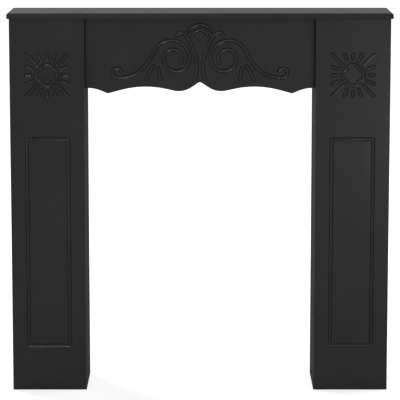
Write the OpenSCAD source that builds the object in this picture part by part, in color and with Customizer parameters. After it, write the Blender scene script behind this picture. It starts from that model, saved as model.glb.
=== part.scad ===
// Free-standing fireplace surround of routed and painted fibreboard.
// Two box legs, open at the back, carry a mantel shelf, and a scalloped frieze
// panel closes the gap between them. X runs across the hearth, +Y points to the
// wall and +Z is up. The origin is the middle of the footprint, on the floor.

/* [Overall] */
// Width of the mantel shelf
shelf_w = 1000; // [800:10:1400]
// Depth of the mantel shelf, from its front edge to the wall
shelf_d = 200; // [150:5:300]
// Height of the top of the shelf above the floor
overall_h = 1000; // [820:10:1300]

/* [Boards] */
// Thickness of the mantel shelf
shelf_t = 15; // [12:0.5:30]
// Radius of the round-over along the shelf's upper edges
shelf_round = 5; // [2:0.5:10]
// Thickness of the leg boards and of the frieze panel
board_t = 15; // [9:0.5:25]

/* [Legs] */
// Width of a leg's front board
leg_w = 195; // [150:1:240]
// Distance that the shelf stands out past each leg's outer side
side_overhang = 5; // [0:1:40]
// Distance that the shelf stands out past the legs' front
front_overhang = 15; // [0:1:40]
// Plain margin between a leg's edge and the middle of its panel groove
leg_margin = 43.5; // [35:0.5:48]
// Height of the panel groove's lower run above the floor
panel_bottom = 120; // [60:5:200]
// Distance from the panel groove's upper run up to the middle of the rosette
panel_to_rosette = 168; // [110:1:260]
// Distance from the leg's top down to the middle of the rosette
rosette_drop = 147; // [110:1:200]

/* [Frieze] */
// Distance that the frieze panel lies back from the legs' front
frieze_setback = 35; // [0:1:80]
// Height of the frieze panel at its ends, for a clear width of 600 between the legs
frieze_end_h = 184; // [178:1:240]

/* [Carving] */
// Width of the grooves at the boards' face
groove_w = 10; // [6:0.5:12]
// Depth of the grooves
groove_depth = 3; // [1:0.5:6]

/* [Hidden] */

$fn = 64;
arc_step = 8;                                   // most degrees between a curve's points
cap_step = 30;                                  // degrees between the points of a round end

leg_h = overall_h - shelf_t;                    // the shelf lies on the legs
front_y = -shelf_d / 2;                         // front edge of the shelf
wall_y = shelf_d / 2;                           // plane of the wall
leg_front_y = front_y + front_overhang;         // face of the leg's front board
side_d = wall_y - leg_front_y - board_t;        // depth of a leg's side boards
leg_x = shelf_w / 2 - side_overhang - leg_w / 2; // middle of a leg
frieze_w = 2 * (leg_x - leg_w / 2);             // clear width between the legs
frieze_y = leg_front_y + frieze_setback;        // face of the frieze panel

// The ornament is drawn for a frieze 600 wide and is scaled with the real one.
frieze_k = frieze_w / 600;
// The rosette is drawn for a reach of 54 and is scaled with the leg.
rosette_reach = leg_w / 2 - leg_margin;
rosette_k = rosette_reach / 54;
panel_top = leg_h - rosette_drop - panel_to_rosette;

// A path is a start point, a heading in degrees and a list of steps. A step is
// [radius, turn] for an arc, where a positive turn goes left, or [0, length]
// for a straight run. A pose is [point, heading].
function is_straight(s) = s[0] == 0;
function ahead(a) = [cos(a), sin(a)];
function leftward(a) = [-sin(a), cos(a)];
function along(pose, s, t) =
    let (p = pose[0], a = pose[1])
    is_straight(s) ? [p + s[1] * t * ahead(a), a]
    : let (turn = s[1] * t, r = s[0] * sign(s[1]))
      [p + r * (leftward(a) - leftward(a + turn)), a + turn];
function pieces_of(s) = is_straight(s) ? 1 : max(2, ceil(abs(s[1]) / arc_step));
function walk(pose, steps, i = 0) =
    i == len(steps) ? []
    : let (s = steps[i], n = pieces_of(s))
      concat([for (j = [1 : n]) along(pose, s, j / n)],
             walk(along(pose, s, 1), steps, i + 1));
function scaled(steps, k) = [for (s = steps) is_straight(s) ? [0, s[1] * k] : [s[0] * k, s[1]]];

// Outline of a groove that follows a row of poses, with a round end at each end
function round_end(p, a) =
    [for (t = [-90 + cap_step : cap_step : 90 - cap_step]) p + groove_w / 2 * ahead(a + t)];
function groove_outline(poses) =
    let (n = len(poses), h = groove_w / 2)
    concat(
        [for (q = poses) q[0] - h * leftward(q[1])],
        round_end(poses[n - 1][0], poses[n - 1][1]),
        [for (i = [n - 1 : -1 : 0]) poses[i][0] + h * leftward(poses[i][1])],
        round_end(poses[0][0], poses[0][1] + 180)
    );

// Lower edge of the frieze, from the middle to the right, drawn for a frieze
// 600 wide. The middle notch has a rounded tip, and rises above the ends.
notch_drop = frieze_end_h - 14.5;               // from the top of the panel down to the tip
sawn_lobe = [[10, -38], [157, 9], [60, 42], [0, 18], [246, -28], [0, 36.5]];
// From the sharp cusp, where the next curve begins, out to the leg
sawn_heel_turn = -22.5;
sawn_heel = [[0, 19], [93, sawn_heel_turn]];

// Right half of the carved scroll, as drawn for a frieze 600 wide. Each start
// is [x, distance below the top of the panel].
crown = [75.5, 59];
volute = [[48.5, 85], [34, 183], [23.5, 179], [33, 24]];
tail = [[48, -61], [0, 31], [90, 65], [12, 232]];
hook_start = [59.5, 47.5];
hook_heading = 96;
hook = [[9.5, 103], [23, 40], [0, 9], [172, 15], [107, 37]];
long_leaf = [122, 126.5];
long_leaf_heading = -55;
long_leaf_steps = [[160, -15.5]];
short_leaf = [109.5, 132.5];
short_leaf_heading = -105;
short_leaf_steps = [[187, 9]];
// Arches in the middle: [radius, distance of the crown below the panel's top, half angle]
arches = [[36.5, 19, 56], [21, 32.5, 77]];

// Rosette, as drawn for a reach of 54
lobe_offset = 12;                               // middle of a quatrefoil lobe from the centre
lobe_r = 16;
ray_start = [42, 40, 36];                       // upright, slanting and corner rays, from the centre

// Turns a drawing in the XY plane up onto a board's face, and sinks it in.
module cut_into(x, y, z)
    translate([x, y + groove_depth, z])
        rotate([90, 0, 0])
            linear_extrude(groove_depth + 1) children();

module groove(p, a, steps)
    polygon(groove_outline(concat([[p, a]], walk([p, a], steps))));

// Carved scroll of the frieze's right half, below the panel's top edge. The
// volute and the tail are one groove that runs through the crown.
module half_scroll(k) {
    top = k * [crown[0], -crown[1]];
    inward = walk([top, 180], scaled(volute, k));
    outward = walk([top, 0], scaled(tail, k));
    polygon(groove_outline(concat(
        [for (i = [len(inward) - 1 : -1 : 0]) [inward[i][0], inward[i][1] - 180]],
        [[top, 0]],
        outward
    )));
    groove(k * [hook_start[0], -hook_start[1]], hook_heading, scaled(hook, k));
    groove(k * [long_leaf[0], -long_leaf[1]], long_leaf_heading, scaled(long_leaf_steps, k));
    groove(k * [short_leaf[0], -short_leaf[1]], short_leaf_heading, scaled(short_leaf_steps, k));
}

module arch(r, drop, half, k)
    groove(k * ([0, -drop - r] + r * [sin(half), cos(half)]), 180 - half, [[r * k, 2 * half]]);

// Sixteen rays run out to the outline of a square: to its corners, the middles
// of its sides and between them.
module ray(a, start, reach)
    groove(start * ahead(a), a, [[0, reach / cos(a) - start]]);

// Ring of four lobes. The cutter leaves a sharp cusp outside and a round one inside.
function lobe_arc(q, offset, r, half) =
    [for (t = [-half : half / 12 : half + 0.01]) offset * ahead(90 * q) + r * ahead(90 * q + t)];
function cusp_at(offset, r) = offset / 2 + sqrt(r * r / 2 - offset * offset / 4);
function cusp_angle(offset, r) = atan2(cusp_at(offset, r), cusp_at(offset, r) - offset);
module quatrefoil(offset, r) {
    h = groove_w / 2;
    half = cusp_angle(offset, r);
    cusp = cusp_at(offset, r) * [1, 1];
    difference() {
        polygon([for (q = [0 : 3]) each lobe_arc(q, offset, r + h, cusp_angle(offset, r + h) - 0.01)]);
        polygon([for (q = [0 : 3]) each concat(
            lobe_arc(q, offset, r - h, half),
            [for (t = [0.25, 0.5, 0.75])
                norm(cusp) * ahead(90 * q + 45) + h * ahead(90 * q + 180 + half + t * (90 - 2 * half))]
        )]);
    }
}

// Rectangular groove that frames a plain panel; the cutter rounds its outer corners.
module panel_groove(half_w, bottom, top) {
    h = groove_w / 2;
    corners = [[half_w, bottom], [half_w, top], [-half_w, top], [-half_w, bottom]];
    difference() {
        polygon([for (i = [0 : 3], t = [0 : cap_step : 90]) corners[i] + h * ahead(90 * (i - 1) + t)]);
        translate([-half_w + h, bottom + h]) square([2 * (half_w - h), top - bottom - 2 * h]);
    }
}

// Half of the frieze's lower edge as points, from the middle to the leg
function sawn_points(k) =
    let (start = [[0, -notch_drop * k], 0],
         lobe = walk(start, scaled(sawn_lobe, k)),
         cusp = [lobe[len(lobe) - 1][0], -sawn_heel_turn],
         heel = walk(cusp, scaled(sawn_heel, k)))
    concat([for (q = concat([start], lobe, heel)) q[0]], [[300 * k, -frieze_end_h * k]]);

module frieze_outline(k) {
    half = sawn_points(k);
    polygon(concat(
        [[300 * k, 0], [-300 * k, 0]],
        [for (i = [len(half) - 1 : -1 : 1]) [-half[i][0], half[i][1]]],
        half
    ));
}

// Shelf with round-overs along its front and both ends; its back is square.
module mantel_shelf() {
    r = shelf_round;
    color("#2e2e2f") translate([0, 0, leg_h]) intersection() {
        translate([-shelf_w / 2, front_y, 0]) rotate([90, 0, 90]) linear_extrude(shelf_w) {
            square([shelf_d, shelf_t - r]);
            translate([r, 0]) square([shelf_d - r, shelf_t]);
            translate([r, shelf_t - r]) circle(r = r);
        }
        translate([0, wall_y, 0]) rotate([90, 0, 0]) linear_extrude(shelf_d) {
            translate([-shelf_w / 2, 0]) square([shelf_w, shelf_t - r]);
            translate([-shelf_w / 2 + r, 0]) square([shelf_w - 2 * r, shelf_t]);
            for (side = [-1, 1])
                translate([side * (shelf_w / 2 - r), shelf_t - r]) circle(r = r);
        }
    }
}

module frieze_panel() {
    color("#2d2d2e") difference() {
        translate([0, frieze_y + board_t, leg_h])
            rotate([90, 0, 0]) linear_extrude(board_t) frieze_outline(frieze_k);
        cut_into(0, frieze_y, leg_h) {
            for (a = arches) arch(a[0], a[1], a[2], frieze_k);
            half_scroll(frieze_k);
            mirror([1, 0, 0]) half_scroll(frieze_k);
        }
    }
}

module leg_front(side) {
    k = rosette_k;
    color("#2c2c2d") difference() {
        translate([side * leg_x - leg_w / 2, leg_front_y, 0]) cube([leg_w, board_t, leg_h]);
        cut_into(side * leg_x, leg_front_y, leg_h - rosette_drop) {
            quatrefoil(lobe_offset * k, lobe_r * k);
            for (q = [0 : 3]) rotate([0, 0, 90 * q]) {
                ray(0, ray_start[0] * k, rosette_reach);
                ray(22.5, ray_start[1] * k, rosette_reach);
                ray(-22.5, ray_start[1] * k, rosette_reach);
                ray(45, ray_start[2] * k, rosette_reach);
            }
        }
        cut_into(side * leg_x, leg_front_y, 0)
            panel_groove(rosette_reach, panel_bottom, panel_top);
    }
}

// A side board stands behind the front board and runs back to the wall.
module leg_side(side, edge) {
    x = side * leg_x + edge * (leg_w - board_t) / 2;
    color("#2a2a2b")
        translate([x - board_t / 2, leg_front_y + board_t, 0]) cube([board_t, side_d, leg_h]);
}

mantel_shelf();
frieze_panel();
leg_front(-1);  // left_leg_front
leg_side(-1, -1);  // left_leg_outer_side
leg_side(-1, 1);  // left_leg_inner_side
leg_front(1);  // right_leg_front
leg_side(1, 1);  // right_leg_outer_side
leg_side(1, -1);  // right_leg_inner_side
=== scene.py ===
"""Fireplace surround of routed fibreboard in satin black paint.

Metres, in the frame of the construction model: X across the hearth, +Y to the
wall, +Z up. Every board is cut and eased as in a workshop, and the frieze and
the legs' fronts are routed.
"""

import math

import bmesh
import bpy
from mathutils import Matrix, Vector


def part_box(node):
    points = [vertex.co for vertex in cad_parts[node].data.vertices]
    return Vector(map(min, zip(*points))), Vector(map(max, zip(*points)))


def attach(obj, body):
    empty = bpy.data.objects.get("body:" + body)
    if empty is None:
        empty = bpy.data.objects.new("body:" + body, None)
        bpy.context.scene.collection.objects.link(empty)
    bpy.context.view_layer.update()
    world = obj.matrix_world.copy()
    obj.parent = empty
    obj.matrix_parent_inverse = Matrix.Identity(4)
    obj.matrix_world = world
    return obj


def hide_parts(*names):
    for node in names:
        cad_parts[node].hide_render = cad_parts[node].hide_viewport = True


MM = 0.001

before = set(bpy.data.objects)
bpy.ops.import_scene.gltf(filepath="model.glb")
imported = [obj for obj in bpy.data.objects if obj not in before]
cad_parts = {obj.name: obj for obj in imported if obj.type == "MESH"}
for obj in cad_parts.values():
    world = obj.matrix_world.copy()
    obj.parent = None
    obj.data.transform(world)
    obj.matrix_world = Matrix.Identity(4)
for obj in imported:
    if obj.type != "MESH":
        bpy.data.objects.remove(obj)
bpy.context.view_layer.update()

# Sizes below are in mm and degrees, down to the studio.

# --------------------------------------------------------------------- boards
EASE = 0.9  # sanded edge of a board
EASE_STEPS = 2
EASE_FROM = 30.0  # edges that turn more than this are sanded
SHELF_ROUND = 5.0  # round-over of the shelf's upper edge
SHELF_ROUND_STEPS = 8
SATIN_SKIN = 1.5  # the satin coat reaches this far back from a board's front
FRONT_NORMAL = -0.05  # a face looks to the front when its normal's Y is below this
STRAIGHT = 0.2  # an outline that bends less than this becomes one straight edge
SMOOTH_UNDER = 38.0  # faces that meet flatter than this are shaded as one surface
FLAT_FACE_WEIGHT = 60  # how far the large flat faces rule the shading at an edge
HAIR = 0.01  # room for rounding when two places are compared
WELD = 0.02  # points this close are welded into one

# --------------------------------------- the groove that the router bit leaves
GROOVE_DEPTH = 3.5
TIP_R = 5.5  # round nose of the bit
TIP_SIDES = 40  # round a whole circle of that nose
WALL_SLOPE = 62.0  # between a groove's wall and the face of the board
LIP_DEPTH = 0.3  # the sanded lip starts this deep in the wall
LIP_WIDTH = 1.4
SECTION_REACH = 7.0  # just more than half the groove's width, lips included
ARC_STEP = 5.0  # between the rings of a routed curve
END_STEPS = 8  # round each end of a groove

# --------------------------------------------------------------- the ornament
# A path is a list of steps: (radius, turn) is an arc, to the left when the turn
# is positive, and (0, length) is a straight run. A heading is 0 to the right
# and 90 upwards. A place on the frieze is (way from its middle, drop from its top).
DRAWN_CLEAR_WIDTH = 600.0  # the frieze is drawn for this width between the legs
NOTCH_DROP = 169.5  # the sawn edge starts in the notch at the frieze's middle
SAWN_LOBE = [(10, -38), (157, 9), (60, 42), (0, 18), (246, -28), (0, 36.5)]
SAWN_HEEL_HEADING = 22.5  # past the corner between the lobe and the heel
SAWN_HEEL = [(0, 19), (93, -SAWN_HEEL_HEADING)]
FRIEZE_END = 184.0  # drop of the sawn edge where it meets a leg

CROWN = (75.5, 59.0)
SCROLL = {  # each groove's start, heading and path, on the frieze's right half
    "volute": (CROWN, 180, [(48.5, 85), (34, 183), (23.5, 179), (33, 24)]),
    "tail": (CROWN, 0, [(48, -61), (0, 31), (90, 65), (12, 232)]),
    "hook": (
        (59.5, 47.5),
        96,
        [(9.5, 103), (23, 40), (0, 9), (172, 15), (107, 37)],
    ),
    "long_leaf": ((122, 126.5), -55, [(160, -15.5)]),
    "short_leaf": ((109.5, 132.5), -105, [(187, 9)]),
}
ARCHES = [(36.5, 19, 56), (21, 32.5, 77)]  # radius, drop of the top, half angle

DRAWN_REACH = 54.0  # the rosette is drawn for this half width of the panel
LEG_MARGIN = 43.5  # from a leg's edge to the middle of its panel groove
ROSETTE_DROP = 147.0  # from a leg's top to the middle of the rosette
PANEL_TO_ROSETTE = 168.0
PANEL_BOTTOM = 120.0
LOBE_R = 16.0
LOBE_OFFSET = 12.0  # from the rosette's middle to the middle of a lobe
# Each ray's angle, and where it starts, counted from the rosette's middle.
RAY_STARTS = {0: 42, 22.5: 40, -22.5: 40, 45: 36}

# ------------------------------------------------------------------ the paint
DRIFT = 70.0  # the coat's thickness wanders over about this distance
NOISE_LOW, NOISE_HIGH = 0.3, 0.7  # nearly all of a noise texture lies between

# --------------------------------------------- the studio, in metres and watts
LENS_MM = 195.8
SENSOR_MM = 36
SHIFT_UP = -0.08
EYE = (0, -5.704, 1.444)
LOOK_DOWN = 8.595  # degrees

AMBIENT = 0.35  # plain light from all round
FLOOR_COLOUR = "#bebebe"
FLOOR_R = 14
FLOOR_SIDES = 96
FLOOR_BACK = 4  # the floor's middle lies this far behind the object
FLOOR_DROP = 0.3 * MM  # keeps the floor clear of the feet
# The floor's own glow, as (distance from the surround's middle, strength).
GLOW_NEAR = (0.7, 0.6)
GLOW_FAR = (2.6, 1.0)

LAMPS = [  # name, place, aim, side of the square lamp, power
    ("high_left", (-0.62, -1.4, 2.0), (-0.2, -0.1, 0.6), 0.3, 17),
    ("high_right", (1.7, -3.0, 2.0), (0.36, -0.1, 0.5), 1.5, 10),
    ("high_front", (0.2, -4.2, 2.2), (0, -0.1, 0.6), 0.5, 28),
    ("low_right", (1.4, -4.0, 0.2), (0.39, -0.1, 0.4), 0.7, 15),
    ("back_left", (-2.4, 2.5, 2.0), (0, 0, 0.6), 1.6, 120),
    ("side_right", (3.0, 1.0, 1.4), (0.4, 0, 0.5), 1.6, 70),
]
# This lamp stands so close that the shelf's shadow would cut across the arches.
SHADOWLESS = ["high_left"]


# ------------------------------------------------------------------- workshop
def deselect():
    bpy.ops.object.select_all(action="DESELECT")


def activate(obj):
    deselect()
    obj.select_set(True)
    bpy.context.view_layer.objects.active = obj


def edit(obj, kind="VERT"):
    activate(obj)
    bpy.ops.object.mode_set(mode="EDIT")
    bpy.ops.mesh.select_mode(type=kind)


def leave():
    bpy.ops.object.mode_set(mode="OBJECT")


def pick(test, kind="verts"):
    """In edit mode, selects the verts, edges or faces that pass the test."""
    obj = bpy.context.view_layer.objects.active
    mesh = bmesh.from_edit_mesh(obj.data)
    for part in (mesh.faces, mesh.edges, mesh.verts):
        for item in part:
            item.select = False
    for item in getattr(mesh, kind):
        if test(item):
            item.select_set(True)
    mesh.select_flush(True)
    bmesh.update_edit_mesh(obj.data)


def pick_all():
    bpy.ops.mesh.select_all(action="SELECT")


def copy_of(obj, name, move=(0, 0, 0)):
    """A copy with its own mesh, moved in its mesh."""
    twin = obj.copy()
    twin.data = obj.data.copy()
    twin.name = twin.data.name = name
    bpy.context.scene.collection.objects.link(twin)
    twin.location = move
    activate(twin)
    bpy.ops.object.transform_apply(location=True, rotation=False, scale=False)
    return twin


def apply_modifier(obj, kind, **settings):
    activate(obj)
    modifier = obj.modifiers.new(kind.title(), kind)
    for key, value in settings.items():
        setattr(modifier, key, value)
    bpy.ops.object.modifier_apply(modifier=modifier.name)


def outward(obj):
    """Welds what meets and turns every face outwards."""
    edit(obj)
    pick_all()
    bpy.ops.mesh.remove_doubles(threshold=WELD * MM)
    bpy.ops.mesh.normals_make_consistent(inside=False)
    leave()


def mirrored(obj):
    """A copy on the other side of the middle."""
    twin = copy_of(obj, obj.name + "_left")
    edit(twin)
    pick_all()
    bpy.ops.transform.resize(value=(-1, 1, 1), center_override=(0, 0, 0))
    leave()
    outward(twin)
    return twin


def joined(pieces, name):
    activate(pieces[0])
    for piece in pieces:
        piece.select_set(True)
    bpy.ops.object.join()
    pieces[0].name = pieces[0].data.name = name
    return pieces[0]


def remove(obj):
    bpy.data.objects.remove(obj, do_unlink=True)


def draw_to(goal, at):
    """Extrudes what is selected from where it is to the goal, and returns that."""
    bpy.ops.mesh.extrude_region_move(TRANSFORM_OT_translate={"value": goal - at})
    return goal


# Paths lie in a plane parallel to XZ. A heading turns from +X towards +Z, which
# is the way that Spin turns about +Y.
BIT_AXIS = (0, 1, 0)


def ahead(heading):
    a = math.radians(heading)
    return Vector((math.cos(a), 0, math.sin(a)))


def leftward(heading):
    return ahead(heading + 90)


def follow(at, heading, path, scale=1.0):
    """Drags what is selected along a path, and returns where that ends and its heading."""
    for radius, turn in path:
        if radius == 0:
            at = draw_to(at + ahead(heading) * turn * scale * MM, at)
            continue
        side = 1 if turn > 0 else -1
        centre = at + leftward(heading) * side * radius * scale * MM
        bpy.ops.mesh.spin(
            steps=max(2, math.ceil(abs(turn) / ARC_STEP)),
            angle=math.radians(turn),
            center=centre,
            axis=BIT_AXIS,
        )
        heading += turn
        at = centre - leftward(heading) * side * radius * scale * MM
    return at, heading


def board(name, low, high):
    """A sawn board from one corner to the other: a cube scaled to size."""
    low, high = Vector(low), Vector(high)
    bpy.ops.mesh.primitive_cube_add(size=1, location=(low + high) / 2)
    obj = bpy.context.active_object
    obj.scale = high - low
    bpy.ops.object.transform_apply(location=True, rotation=False, scale=True)
    obj.name = obj.data.name = name
    return obj


def ease(obj):
    apply_modifier(
        obj,
        "BEVEL",
        width=EASE * MM,
        segments=EASE_STEPS,
        limit_method="ANGLE",
        angle_limit=math.radians(EASE_FROM),
        miter_outer="MITER_SHARP",
    )


# ----------------------------------------------------------------- router bit
def router_section():
    """The cross-section that the bit leaves: a round nose, short straight walls
    and a sanded lip. It lies in the XY plane with +Y into the board, and y = 0
    is the board's face.
    """
    slope = math.radians(WALL_SLOPE)
    nose_y = GROOVE_DEPTH - TIP_R
    foot_x = TIP_R * math.sin(slope)
    foot_y = nose_y + TIP_R * math.cos(slope)
    deselect()
    bpy.ops.mesh.primitive_circle_add(
        vertices=TIP_SIDES, radius=TIP_R * MM, location=(0, nose_y * MM, 0)
    )
    obj = bpy.context.active_object
    bpy.ops.object.transform_apply(location=True, rotation=False, scale=False)
    obj.name = "router_section"
    edit(obj)
    pick(lambda v: v.co.y < (foot_y + HAIR) * MM)
    bpy.ops.mesh.delete(type="VERT")
    # Each end of the nose is drawn up the wall, then out along the lip.
    rim = foot_x + (foot_y - LIP_DEPTH) / math.tan(slope)
    for side in (-1, 1):
        verts = bmesh.from_edit_mesh(obj.data).verts
        corner = max(v.co.x * side for v in verts)
        pick(lambda v: v.co.x * side > corner - HAIR * MM)
        verts = bmesh.from_edit_mesh(obj.data).verts
        at = next(v.co.copy() for v in verts if v.select)
        for x, y in ((rim, LIP_DEPTH), (rim + LIP_WIDTH, -LIP_DEPTH)):
            at = draw_to(Vector((side * x * MM, y * MM, 0)), at)
    # The lips end above the board's face. The line that closes the section there
    # gets a point in its middle, on the bit's own axis.
    pick(lambda v: v.co.y < 0)
    bpy.ops.mesh.edge_face_add()
    bpy.ops.mesh.subdivide(number_cuts=1)
    leave()
    return obj


def routed(name, section, start, heading, path, face_y, scale=1.0):
    """A closed body that fills one groove, with a round end at each end."""
    obj = copy_of(section, name)
    at = Vector((start[0] * MM, face_y, start[1] * MM))
    obj.location = at
    obj.rotation_euler = (0, math.radians(90 - heading), 0)
    bpy.ops.object.transform_apply(location=True, rotation=True, scale=False)

    def in_section(v):
        return abs((v.co - at).dot(ahead(heading))) < HAIR * MM

    # At each end, half of the section turns about the bit's own axis. What starts
    # the path is then welded to the first round end.
    edit(obj)
    pick(lambda v: (v.co - at).dot(leftward(heading)) < HAIR * MM)
    bpy.ops.mesh.duplicate()
    bpy.ops.mesh.spin(
        steps=END_STEPS, angle=math.radians(-180), center=at, axis=BIT_AXIS
    )
    pick(in_section)
    bpy.ops.mesh.remove_doubles(threshold=HAIR * MM)
    pick(in_section)
    end, last = follow(at, heading, path, scale)
    pick(
        lambda v: abs((v.co - end).dot(ahead(last))) < HAIR * MM
        and (v.co - end).length < SECTION_REACH * MM
        and (v.co - end).dot(leftward(last)) < HAIR * MM
    )
    bpy.ops.mesh.duplicate()
    bpy.ops.mesh.spin(
        steps=END_STEPS, angle=math.radians(180), center=end, axis=BIT_AXIS
    )
    leave()
    outward(obj)
    return obj


def rout(obj, grooves):
    """Cuts grooves that don't cross each other, in one pass."""
    cutter = joined(grooves, "router_pass")
    apply_modifier(
        obj, "BOOLEAN", object=cutter, operation="DIFFERENCE", solver="MANIFOLD"
    )
    remove(cutter)


# --------------------------------------------------------------------- boards
def sawn_frieze():
    """The frieze's board: half of its outline is drawn by dragging one point
    round it, then thickened, mirrored and eased.
    """
    low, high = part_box("frieze_panel")
    face_y, half, top = low[1], high[0], high[2]
    scale = 2 * half / MM / DRAWN_CLEAR_WIDTH
    start = Vector((0, face_y, top - NOTCH_DROP * scale * MM))
    deselect()
    bpy.ops.mesh.primitive_plane_add(size=2 * MM, location=start)
    obj = bpy.context.active_object
    bpy.ops.object.transform_apply(location=True, rotation=False, scale=False)
    obj.name = obj.data.name = "frieze_board"
    edit(obj)
    pick_all()
    bpy.ops.mesh.merge(type="CENTER")
    at, _ = follow(start, 0, SAWN_LOBE, scale)
    at, _ = follow(at, SAWN_HEEL_HEADING, SAWN_HEEL, scale)
    for corner in (
        Vector((half, face_y, top - FRIEZE_END * scale * MM)),
        Vector((half, face_y, top)),
        Vector((0, face_y, top)),
        start,
    ):
        at = draw_to(corner, at)
    pick_all()
    bpy.ops.mesh.remove_doubles(threshold=HAIR * MM)
    pick_all()
    bpy.ops.mesh.edge_face_add()
    thickness = (0, high[1] - low[1], 0)
    bpy.ops.mesh.extrude_region_move(TRANSFORM_OT_translate={"value": thickness})
    pick(lambda f: all(abs(v.co.x) < HAIR * MM for v in f.verts), "faces")
    bpy.ops.mesh.delete(type="ONLY_FACE")
    leave()
    apply_modifier(
        obj, "MIRROR", use_axis=(True, False, False), merge_threshold=WELD * MM
    )
    outward(obj)
    edit(obj)
    pick_all()
    bpy.ops.mesh.dissolve_limited(angle_limit=math.radians(STRAIGHT))
    leave()
    ease(obj)
    return obj


def routed_frieze(section):
    """The frieze with a scroll on each half and the arches in the middle."""
    obj = sawn_frieze()
    low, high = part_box("frieze_panel")
    face_y = low[1]
    scale = 2 * high[0] / MM / DRAWN_CLEAR_WIDTH

    def placed(point):
        return (point[0] * scale, high[2] / MM - point[1] * scale)

    right = [
        routed(name, section, placed(start), heading, path, face_y, scale)
        for name, (start, heading, path) in SCROLL.items()
    ]
    left = [mirrored(groove) for groove in right]
    arches = []
    for radius, top_drop, half_angle in ARCHES:
        a = math.radians(half_angle)
        foot = (radius * math.sin(a), top_drop + radius - radius * math.cos(a))
        path = [(radius, 2 * half_angle)]
        arches.append(
            routed("arch", section, placed(foot), 180 - half_angle, path, face_y, scale)
        )
    # A volute and its tail share the crown, so the volutes have their own pass.
    rout(obj, [right[0], left[0]])
    rout(obj, right[1:] + left[1:] + arches)
    return obj


def rosette(section, centre, reach, face_y):
    """Rays round a ring of four lobes, as two lists of grooves. Lobes that are
    next to each other meet, so they are cut in different passes.
    """
    scale = reach / DRAWN_REACH
    cusp = LOBE_OFFSET / 2 + math.sqrt(LOBE_R**2 / 2 - LOBE_OFFSET**2 / 4)
    half_angle = math.degrees(math.atan2(cusp, cusp - LOBE_OFFSET))
    passes = ([], [])
    for quarter in range(4):
        turned = 90 * quarter
        for angle, start in RAY_STARTS.items():
            heading = turned + angle
            length = reach / math.cos(math.radians(angle)) - start * scale
            foot = centre + ahead(heading) * start * scale
            passes[0].append(
                routed("ray", section, (foot.x, foot.z), heading, [(0, length)], face_y)
            )
        out = ahead(turned) * LOBE_OFFSET + ahead(turned - half_angle) * LOBE_R
        foot = centre + out * scale
        heading = turned - half_angle + 90
        path = [(LOBE_R, 2 * half_angle)]
        passes[quarter % 2].append(
            routed("lobe", section, (foot.x, foot.z), heading, path, face_y, scale)
        )
    return passes


def panel(section, middle, reach, bottom, top, face_y):
    """A framed rectangle, as its two sides and its two ends."""
    sides = [
        routed(
            "panel_side", section, (middle + edge * reach, bottom), 90,
            [(0, top - bottom)], face_y,
        )
        for edge in (-1, 1)
    ]
    ends = [
        routed(
            "panel_end", section, (middle - reach, height), 0,
            [(0, 2 * reach)], face_y,
        )
        for height in (bottom, top)
    ]
    return sides, ends


def routed_leg(section, side):
    """A leg's front board with its rosette and its framed panel."""
    low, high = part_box(side + "_leg_front")
    obj = board(side + "_leg_board", low, high)
    ease(obj)
    face_y = low[1]
    middle = (low[0] + high[0]) / 2 / MM
    reach = (high[0] - low[0]) / 2 / MM - LEG_MARGIN
    centre = Vector((middle, 0, high[2] / MM - ROSETTE_DROP))
    first, second = rosette(section, centre, reach, face_y)
    top = centre.z - PANEL_TO_ROSETTE
    sides, ends = panel(section, middle, reach, PANEL_BOTTOM, top, face_y)
    rout(obj, first + sides)
    rout(obj, second + ends)
    return obj


def shelf():
    """The mantel shelf, rounded over along its front and both ends."""
    low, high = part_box("mantel_shelf")
    obj = board("mantel_shelf_board", low, high)

    def rounded(edge):
        ends = [v.co for v in edge.verts]
        if any(abs(p.z - high[2]) > HAIR * MM for p in ends):
            return False
        return not all(abs(p.y - high[1]) < HAIR * MM for p in ends)

    edit(obj, "EDGE")
    pick(rounded, "edges")
    bpy.ops.mesh.bevel(
        offset=SHELF_ROUND * MM,
        segments=SHELF_ROUND_STEPS,
        affect="EDGES",
        clamp_overlap=True,
    )
    leave()
    ease(obj)
    return obj


def plain_board(node):
    low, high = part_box(node)
    obj = board(node + "_board", low, high)
    ease(obj)
    return obj


def matt_edges(obj, coat):
    """The sawn edges and the back of a board drink the lacquer, so they dry matt."""
    obj.data.materials.append(coat)
    behind = min(v.co.y for v in obj.data.vertices) + SATIN_SKIN * MM

    def drinks(face):
        return face.normal.y > FRONT_NORMAL and face.calc_center_median().y > behind

    edit(obj, "FACE")
    pick(drinks, "faces")
    obj.active_material_index = 1
    bpy.ops.object.material_slot_assign()
    leave()


def finish_shading(obj):
    """Soft lips and round-overs, with flat faces kept flat."""
    activate(obj)
    bpy.ops.object.shade_smooth_by_angle(angle=math.radians(SMOOTH_UNDER))
    apply_modifier(
        obj,
        "WEIGHTED_NORMAL",
        mode="FACE_AREA",
        weight=FLAT_FACE_WEIGHT,
        keep_sharp=True,
    )


# ------------------------------------------------------------------ materials
def linear(hex_colour):
    """An sRGB hex colour as linear RGBA."""
    parts = [int(hex_colour[i : i + 2], 16) / 255 for i in (1, 3, 5)]
    return [
        p / 12.92 if p <= 0.04045 else ((p + 0.055) / 1.055) ** 2.4 for p in parts
    ] + [1.0]


def add(tree, kind, values=None, links=None, **settings):
    """Adds a node with its settings, socket values and incoming links."""
    node = tree.nodes.new(kind)
    for key, value in settings.items():
        setattr(node, key, value)
    for socket, value in (values or {}).items():
        node.inputs[socket].default_value = value
    for socket, source in (links or {}).items():
        tree.links.new(source, node.inputs[socket])
    return node


def new_material(name):
    material = bpy.data.materials.new(name)
    material.use_nodes = True
    material.node_tree.nodes.clear()
    return material


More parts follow.
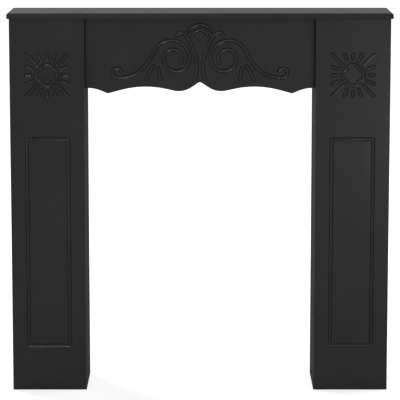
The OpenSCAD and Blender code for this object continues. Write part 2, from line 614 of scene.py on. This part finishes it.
def black_lacquer(name, tones, ior, roughness, stipple, stipple_depth):
    """Black lacquer sprayed on fibreboard.

    The spray leaves a faint stipple that breaks up the reflections. A real one
    is a few tenths of a millimetre across: too fine to show here, so it is drawn
    coarser. Broad drifts of tone show where the coats went on thicker.
    """
    material = new_material(name)
    tree = material.node_tree
    place = add(tree, "ShaderNodeTexCoord").outputs["Object"]
    drifts = add(
        tree,
        "ShaderNodeTexNoise",
        {"Scale": 1 / (DRIFT * MM), "Detail": 3.0},
        {"Vector": place},
    )
    spray = add(
        tree,
        "ShaderNodeTexNoise",
        {"Scale": 1 / (stipple * MM), "Detail": 2.0},
        {"Vector": place},
    )
    tone = add(tree, "ShaderNodeValToRGB", {}, {"Fac": drifts.outputs["Fac"]})
    for stop, position, colour in zip(
        tone.color_ramp.elements, (NOISE_LOW, NOISE_HIGH), tones
    ):
        stop.position = position
        stop.color = linear(colour)
    gloss = add(
        tree,
        "ShaderNodeMapRange",
        {
            "From Min": NOISE_LOW,
            "From Max": NOISE_HIGH,
            "To Min": roughness[0],
            "To Max": roughness[1],
        },
        {"Value": spray.outputs["Fac"]},
    )
    bump = add(
        tree,
        "ShaderNodeBump",
        {"Strength": 1.0, "Distance": stipple_depth * MM},
        {"Height": spray.outputs["Fac"]},
    )
    shader = add(
        tree,
        "ShaderNodeBsdfPrincipled",
        {"IOR": ior},
        {
            "Base Color": tone.outputs["Color"],
            "Roughness": gloss.outputs["Result"],
            "Normal": bump.outputs["Normal"],
        },
    )
    add(tree, "ShaderNodeOutputMaterial", {}, {"Surface": shader.outputs["BSDF"]})
    return material


# --------------------------------------------------------------------- studio
def sees_background(tree):
    """1 for rays that see the plain background: straight, mirrored or through glass."""
    path = add(tree, "ShaderNodeLightPath")
    either = add(
        tree,
        "ShaderNodeMath",
        {},
        {0: path.outputs["Is Camera Ray"], 1: path.outputs["Is Glossy Ray"]},
        operation="ADD",
    )
    return add(
        tree,
        "ShaderNodeMath",
        {},
        {0: either.outputs[0], 1: path.outputs["Is Transmission Ray"]},
        operation="ADD",
        use_clamp=True,
    ).outputs[0]


def studio_world():
    world = bpy.data.worlds.new("studio")
    bpy.context.scene.world = world
    world.use_nodes = True
    tree = world.node_tree
    tree.nodes.clear()
    white = {"Color": linear("#ffffff")}
    background = add(tree, "ShaderNodeBackground", {**white, "Strength": 1.0})
    room = add(tree, "ShaderNodeBackground", {**white, "Strength": AMBIENT})
    mix = add(
        tree,
        "ShaderNodeMixShader",
        {},
        {0: sees_background(tree), 1: room.outputs[0], 2: background.outputs[0]},
    )
    add(tree, "ShaderNodeOutputWorld", {}, {"Surface": mix.outputs[0]})


def studio_floor():
    """A pale matt floor, whose own glow takes its far part to plain white and
    leaves the object's shadow near the feet.
    """
    deselect()
    bpy.ops.mesh.primitive_circle_add(
        vertices=FLOOR_SIDES,
        radius=FLOOR_R,
        fill_type="NGON",
        location=(0, FLOOR_BACK, -FLOOR_DROP),
    )
    floor = bpy.context.active_object
    floor.name = "studio_floor"
    bpy.ops.object.transform_apply(location=True)
    material = new_material("pale_floor")
    tree = material.node_tree
    matt = add(tree, "ShaderNodeBsdfDiffuse", {"Color": linear(FLOOR_COLOUR)})
    place = add(tree, "ShaderNodeTexCoord").outputs["Object"]
    away = add(tree, "ShaderNodeVectorMath", {}, {0: place}, operation="LENGTH")
    sweep = add(
        tree,
        "ShaderNodeMapRange",
        {
            "From Min": GLOW_NEAR[0],
            "From Max": GLOW_FAR[0],
            "To Min": GLOW_NEAR[1],
            "To Max": GLOW_FAR[1],
        },
        {"Value": away.outputs["Value"]},
    )
    seen = add(
        tree,
        "ShaderNodeMath",
        {},
        {0: sweep.outputs["Result"], 1: sees_background(tree)},
        operation="MULTIPLY",
    )
    glow = add(
        tree,
        "ShaderNodeEmission",
        {"Color": linear("#ffffff")},
        {"Strength": seen.outputs[0]},
    )
    both = add(tree, "ShaderNodeAddShader", {}, {0: matt.outputs[0], 1: glow.outputs[0]})
    add(tree, "ShaderNodeOutputMaterial", {}, {"Surface": both.outputs[0]})
    floor.data.materials.append(material)


def softbox(name, place, aim, side, power):
    data = bpy.data.lights.new(name, "AREA")
    data.use_shadow = name not in SHADOWLESS
    data.shape = "SQUARE"
    data.size = side
    data.energy = power
    lamp = bpy.data.objects.new(name, data)
    bpy.context.scene.collection.objects.link(lamp)
    lamp.location = place
    towards = Vector(aim) - Vector(place)
    lamp.rotation_euler = towards.to_track_quat("-Z", "Y").to_euler()


def camera():
    data = bpy.data.cameras.new("view")
    data.sensor_width = SENSOR_MM
    data.lens = LENS_MM
    data.shift_y = SHIFT_UP
    obj = bpy.data.objects.new("view", data)
    bpy.context.scene.collection.objects.link(obj)
    obj.location = EYE
    obj.rotation_euler = (math.radians(90 - LOOK_DOWN), 0, 0)
    bpy.context.scene.camera = obj


# --------------------------------------------------------------- put together
camera()
bit = router_section()
frieze = routed_frieze(bit)
left_leg = routed_leg(bit, "left")
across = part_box("right_leg_front")[0][0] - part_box("left_leg_front")[0][0]
right_leg = copy_of(left_leg, "right_leg_board", (across, 0, 0))
remove(bit)

pieces = {
    "mantel_shelf": shelf(),
    "frieze_panel": frieze,
    "left_leg_front": left_leg,
    "right_leg_front": right_leg,
}
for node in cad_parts:
    if node not in pieces:
        pieces[node] = plain_board(node)

# A lacquer's IOR is about 1.5. These coats mirror their surroundings less than
# that, so each one's is lowered until it matches the object.
# The fronts are sprayed and flatted back: satin, with crisp lights in the grooves.
satin_coat = black_lacquer(
    "satin_black_lacquer",
    tones=("#151516", "#191919"),
    ior=1.27,
    roughness=(0.24, 0.30),
    stipple=1.4,
    stipple_depth=0.02,
)
# The shelf has the same lacquer, softer in its sheen, and a greyer tone that is painted
# light: it stands in for the light that the shelf's top and front catch.
shelf_coat_painted_light = black_lacquer(
    "black_shelf_lacquer_painted_light",
    tones=("#242425", "#282829"),
    ior=1.14,
    roughness=(0.47, 0.53),
    stipple=1.4,
    stipple_depth=0.02,
)
# Sides, sawn edges and backs have one thin coat that sinks in: nearly no sheen.
matt_coat = black_lacquer(
    "matt_black_lacquer",
    tones=("#1b1b1c", "#1f1f20"),
    ior=1.12,
    roughness=(0.86, 0.92),
    stipple=1.8,
    stipple_depth=0.03,
)
for node, piece in pieces.items():
    coat = satin_coat
    # The shelf's coat is greyer than the fronts: its tone is painted light.
    if node == "mantel_shelf":
        coat = shelf_coat_painted_light
    elif node.endswith("_side"):
        coat = matt_coat
    piece.data.materials.clear()
    piece.data.materials.append(coat)
    if coat is satin_coat:
        matt_edges(piece, matt_coat)
    finish_shading(piece)
    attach(piece, "root")
    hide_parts(node)

studio_world()
studio_floor()
for lamp in LAMPS:
    softbox(*lamp)

scene = bpy.context.scene
scene.view_settings.view_transform = "Standard"
